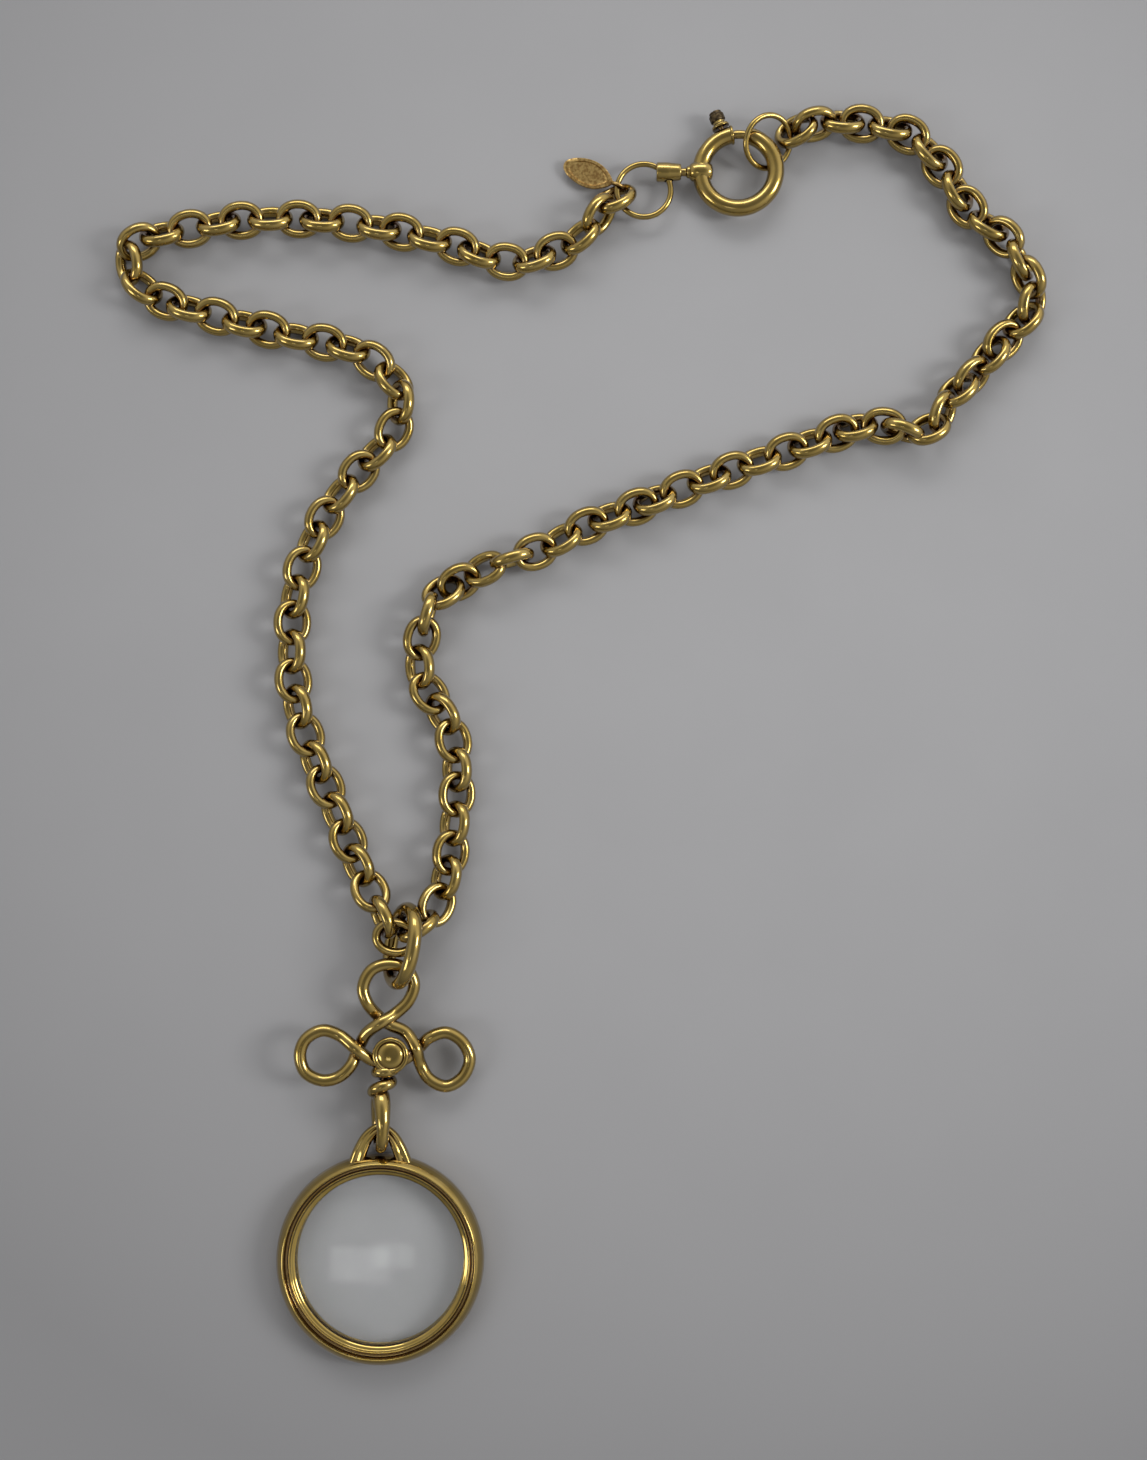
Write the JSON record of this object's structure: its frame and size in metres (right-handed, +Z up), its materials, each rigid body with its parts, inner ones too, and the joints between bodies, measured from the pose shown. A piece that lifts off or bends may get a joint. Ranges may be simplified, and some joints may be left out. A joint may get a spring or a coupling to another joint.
{
  "type": "eyeglasses chain strap",
  "caption": "Oval cable chain for eyewear, closed by a spring ring clasp, with a hang tag and a wire trefoil carrying a magnifier.",
  "frame": {"origin": "under the middle of the bounding box, on the table the chain lies on", "axes": "+Z up off the table, +Y from the magnifier to the clasp, +X to the right as the picture shows it"},
  "size_m": [0.2024, 0.27, 0.0137],
  "materials": {
    "polished_gold_tone": "polished gold tone plating",
    "antique_gold_tone": "brownish antique gold tone",
    "spring_steel": "bare spring wire",
    "clear_glass": "clear ground lens"
  },
  "bodies": {
    "lower_chain": {"left_chain_01": "polished_gold_tone", "left_chain_02": "polished_gold_tone", "left_chain_03": "polished_gold_tone", "left_chain_04": "polished_gold_tone", "left_chain_05": "polished_gold_tone", "right_chain_01": "polished_gold_tone", "right_chain_02": "polished_gold_tone", "right_chain_03": "polished_gold_tone", "right_chain_04": "polished_gold_tone", "right_chain_05": "polished_gold_tone", "right_chain_06": "polished_gold_tone", "bottom_link": "polished_gold_tone"},
    "clasp_end": {"right_chain_23": "polished_gold_tone", "right_chain_24": "polished_gold_tone"},
    "jump_ring_turning": {"jump_ring": "polished_gold_tone"},
    "clasp_lifting": {"clasp_barrel": "polished_gold_tone"},
    "clasp_swivelling": {"clasp_ring": "polished_gold_tone", "clasp_spring": "spring_steel"},
    "clasp_bolt_sliding": {"clasp_bolt": "polished_gold_tone"},
    "hang_tag_lifting": {"hang_tag": "antique_gold_tone"},
    "end_ring_turning": {"end_ring": "polished_gold_tone"},
    "left_upper_chain": {"left_chain_11": "polished_gold_tone", "left_chain_12": "polished_gold_tone", "left_chain_13": "polished_gold_tone", "left_chain_14": "polished_gold_tone", "left_chain_15": "polished_gold_tone", "left_chain_16": "polished_gold_tone", "left_chain_17": "polished_gold_tone", "left_chain_18": "polished_gold_tone"},
    "left_elbow_chain": {"left_chain_10": "polished_gold_tone"},
    "waist_chain": {"left_chain_07": "polished_gold_tone", "left_chain_08": "polished_gold_tone"},
    "left_lower_chain": {"left_chain_06": "polished_gold_tone", "left_chain_09": "polished_gold_tone"},
    "corner_chain": {"right_chain_16": "polished_gold_tone", "right_chain_17": "polished_gold_tone", "right_chain_18": "polished_gold_tone"},
    "right_upper_chain": {"right_chain_19": "polished_gold_tone", "right_chain_20": "polished_gold_tone", "right_chain_21": "polished_gold_tone", "right_chain_22": "polished_gold_tone"},
    "right_middle_chain": {"right_chain_13": "polished_gold_tone", "right_chain_14": "polished_gold_tone", "right_chain_15": "polished_gold_tone"},
    "right_lower_chain": {"right_chain_07": "polished_gold_tone", "right_chain_08": "polished_gold_tone", "right_chain_09": "polished_gold_tone", "right_chain_10": "polished_gold_tone", "right_chain_11": "polished_gold_tone", "right_chain_12": "polished_gold_tone"},
    "bail": {"bail_ring": "polished_gold_tone"},
    "trefoil_pendant": {"trefoil_wire": "polished_gold_tone", "trefoil_boss": "polished_gold_tone", "neck_wrap": "polished_gold_tone"},
    "magnifier": {"loupe_rim": "polished_gold_tone", "loupe_lens": "clear_glass", "lens_retainer": "polished_gold_tone"}
  },
  "joints": [
    {"name": "left_sway", "type": "hinge", "parent": "lower_chain", "child": "left_lower_chain", "pos_m": [-0.0564, 0.04204, 0.00349], "axis": [0, 0, 1], "range_deg": [-7, 7]},
    {"name": "left_swing", "type": "hinge", "parent": "left_lower_chain", "child": "left_elbow_chain", "pos_m": [-0.07013, 0.08626, 0.00349], "axis": [0, 0, 1], "range_deg": [-7, 7]},
    {"name": "left_sway_end", "type": "hinge", "parent": "left_elbow_chain", "child": "left_upper_chain", "pos_m": [-0.0873, 0.09101, 0.00349], "axis": [0, 0, 1], "range_deg": [-7, 7]},
    {"name": "left_swing_end", "type": "hinge", "parent": "left_upper_chain", "child": "clasp_end", "pos_m": [0.00945, 0.11578, 0.00298], "axis": [0, 0, 1], "range_deg": [-7, 7]},
    {"name": "right_swing", "type": "hinge", "parent": "lower_chain", "child": "right_lower_chain", "pos_m": [-0.01209, 0.03632, 0.00428], "axis": [0, 0, 1], "range_deg": [-7, 7]},
    {"name": "right_swing_end", "type": "hinge", "parent": "right_lower_chain", "child": "right_middle_chain", "pos_m": [0.06757, 0.0641, 0.00427], "axis": [0, 0, 1], "range_deg": [-7, 7]},
    {"name": "right_sway", "type": "hinge", "parent": "right_middle_chain", "child": "right_upper_chain", "pos_m": [0.09014, 0.0817, 0.00349], "axis": [0, 0, 1], "range_deg": [-7, 7]},
    {"name": "waist_lift", "type": "hinge", "parent": "left_lower_chain", "child": "waist_chain", "pos_m": [-0.04585, 0.05677, 0.00349], "axis": [0.2607, -0.9654, 0], "range_deg": [0, 8]},
    {"name": "corner_lift", "type": "hinge", "parent": "right_upper_chain", "child": "corner_chain", "pos_m": [0.09014, 0.0817, 0.00349], "axis": [-0.0157, -0.9999, 0], "range_deg": [0, 8]},
    {"name": "bail_lean", "type": "hinge", "parent": "lower_chain", "child": "bail", "pos_m": [-0.04033, -0.04642, 0.00163], "axis": [0.1736, 0.9848, 0], "range_deg": [-20, 0]},
    {"name": "pendant_lift", "type": "hinge", "parent": "lower_chain", "child": "trefoil_pendant", "pos_m": [-0.03892, -0.05464, 0.00693], "axis": [-1, 0, 0], "range_deg": [0, 8]},
    {"name": "magnifier_lift", "type": "hinge", "parent": "trefoil_pendant", "child": "magnifier", "pos_m": [-0.04215, -0.08555, 0.00413], "axis": [-1, 0, 0], "range_deg": [0, 25]},
    {"name": "jump_ring_turn", "type": "hinge", "parent": "clasp_end", "child": "jump_ring_turning", "pos_m": [0.01392, 0.11654, 0.00298], "axis": [0, 0, 1], "continuous": true},
    {"name": "clasp_lift", "type": "hinge", "parent": "clasp_end", "child": "clasp_lifting", "pos_m": [0.01813, 0.12061, 0.00298], "axis": [0.6947, -0.7193, 0], "range_deg": [0, 1.5]},
    {"name": "clasp_swivel", "type": "hinge", "parent": "clasp_lifting", "child": "clasp_swivelling", "pos_m": [0.02633, 0.12061, 0.00298], "axis": [1, 0, 0], "range_deg": [-4, 2]},
    {"name": "bolt_slide", "type": "hinge", "parent": "clasp_swivelling", "child": "clasp_bolt_sliding", "pos_m": [0.03446, 0.12061, 0.00353], "axis": [-0.068, 0, 0.9977], "range_deg": [0, 26], "stiffness_Nm_per_rad": 0.004, "springref_deg": -11.46, "deforming": ["clasp_spring"]},
    {"name": "tag_lift", "type": "hinge", "parent": "clasp_end", "child": "hang_tag_lifting", "pos_m": [0.00875, 0.11929, 0.00298], "axis": [0.4695, 0.8829, 0], "range_deg": [0, 30]},
    {"name": "end_ring_turn", "type": "hinge", "parent": "clasp_end", "child": "end_ring_turning", "pos_m": [0.04096, 0.12691, 0.00411], "axis": [0.3954, -0.3954, 0.829], "continuous": true}
  ],
  "couplings": [
    {"joint": "left_sway_end", "follows": "left_sway", "ratio": -1},
    {"joint": "right_sway", "follows": "left_sway", "ratio": 1},
    {"joint": "left_swing_end", "follows": "left_swing", "ratio": -1},
    {"joint": "right_swing", "follows": "left_swing", "ratio": 1},
    {"joint": "right_swing_end", "follows": "left_swing", "ratio": -1}
  ]
}
